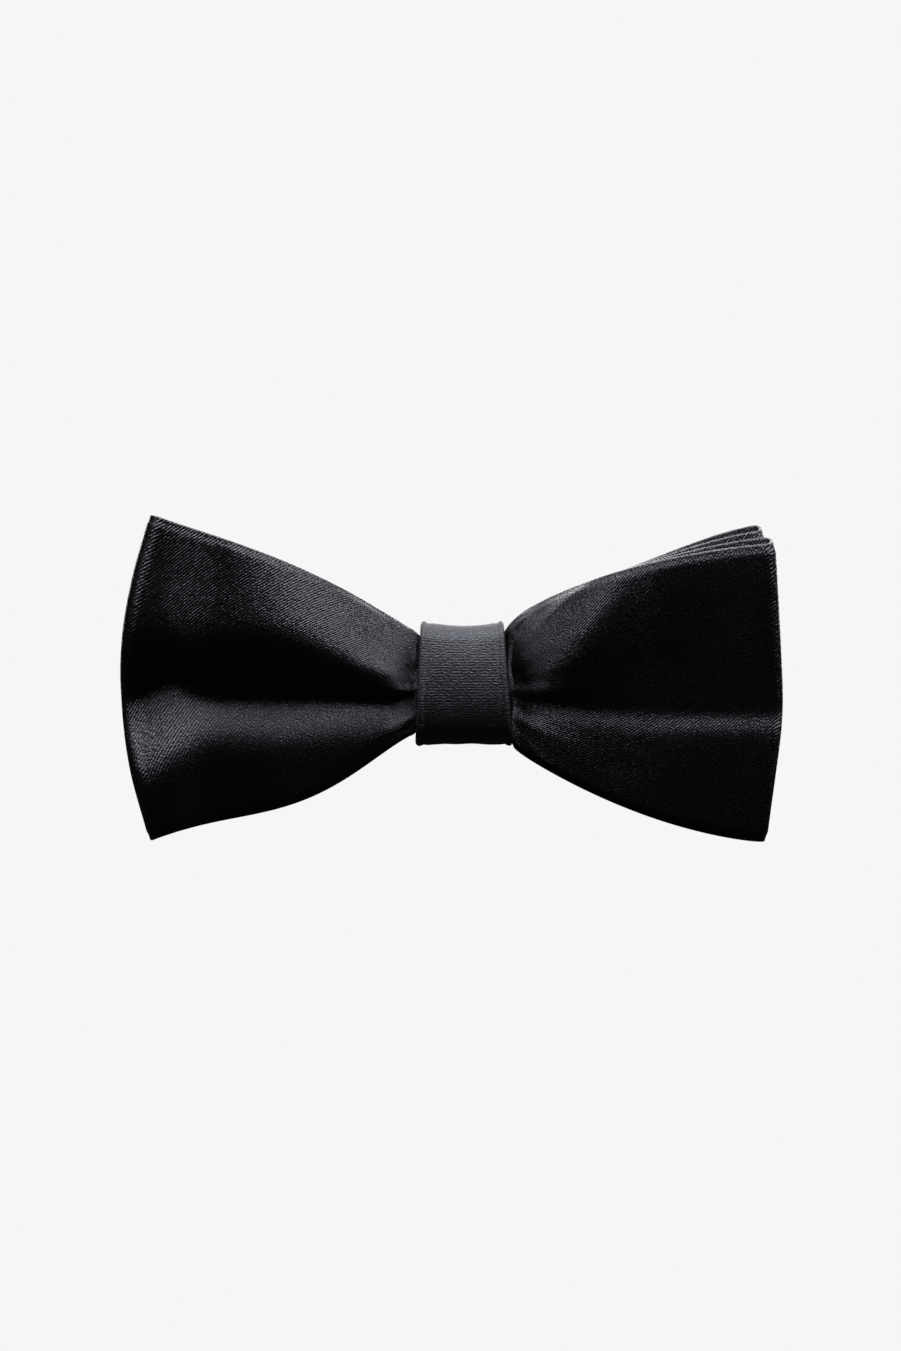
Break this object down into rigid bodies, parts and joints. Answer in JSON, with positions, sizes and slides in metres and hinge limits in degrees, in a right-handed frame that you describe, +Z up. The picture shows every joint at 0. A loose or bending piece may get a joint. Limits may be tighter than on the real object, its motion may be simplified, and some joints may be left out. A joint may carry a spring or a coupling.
{
  "type": "bow tie",
  "caption": "Pre-tied double bow tie with a knot band, on a hooked neckband that an adjuster slide shortens.",
  "frame": {"origin": "middle of the knot's flat back, where it rests on the collar", "axes": "+Z up as worn, +Y back towards the neck, so the front of the bow faces -Y, +X to the right as seen from in front"},
  "size_m": [0.119, 0.152, 0.0584],
  "materials": {
    "bow_satin": "black polyester satin, soft sheen",
    "knot_satin": "black polyester satin with a crosswise rib, soft sheen",
    "band_satin": "black polyester satin, folded flat strip",
    "canvas": "unbleached woven canvas, matt",
    "thread": "black twisted sewing thread",
    "clasp_metal": "nickel-plated, polished"
  },
  "bodies": {
    "bow": {"front_bow_cover": "bow_satin", "back_bow_cover": "bow_satin", "front_bow_interlining": "canvas", "back_bow_interlining": "canvas", "knot_wrap": "knot_satin", "knot_interlining": "canvas", "gather_thread": "thread", "knot_seam_stitch": "thread", "neckband_centre": "band_satin"},
    "short_side": {"neckband_left": "band_satin", "eye_tack": "thread"},
    "long_side": {"neckband_right": "band_satin", "neckband_doubled": "band_satin", "neckband_return": "band_satin"},
    "slide": {"adjuster_slide": "clasp_metal", "neckband_tail": "band_satin", "slide_tack": "thread"},
    "hook": {"hook": "clasp_metal"},
    "eye": {"eye": "clasp_metal"}
  },
  "joints": [
    {"name": "short_side_open", "type": "hinge", "parent": "bow", "child": "short_side", "pos_m": [-0.03451, 0.00476, 0], "axis": [0, 0, 1], "range_deg": [-4, 60]},
    {"name": "long_side_open", "type": "hinge", "parent": "bow", "child": "long_side", "pos_m": [0.03451, 0.00476, 0], "axis": [0, 0, -1], "range_deg": [-4, 60]},
    {"name": "slide_adjust", "type": "slide", "parent": "long_side", "child": "slide", "axis": [0, 1, 0], "range_m": [0, 0.024], "deforming": ["neckband_return"]},
    {"name": "hook_turn", "type": "hinge", "parent": "long_side", "child": "hook", "pos_m": [0.0225, 0.12761, 0], "axis": [0, 0, 1], "range_deg": [-60, 60]},
    {"name": "eye_turn", "type": "hinge", "parent": "short_side", "child": "eye", "pos_m": [-0.02065, 0.12813, 0], "axis": [0, 0, 1], "range_deg": [-60, 60]}
  ]
}
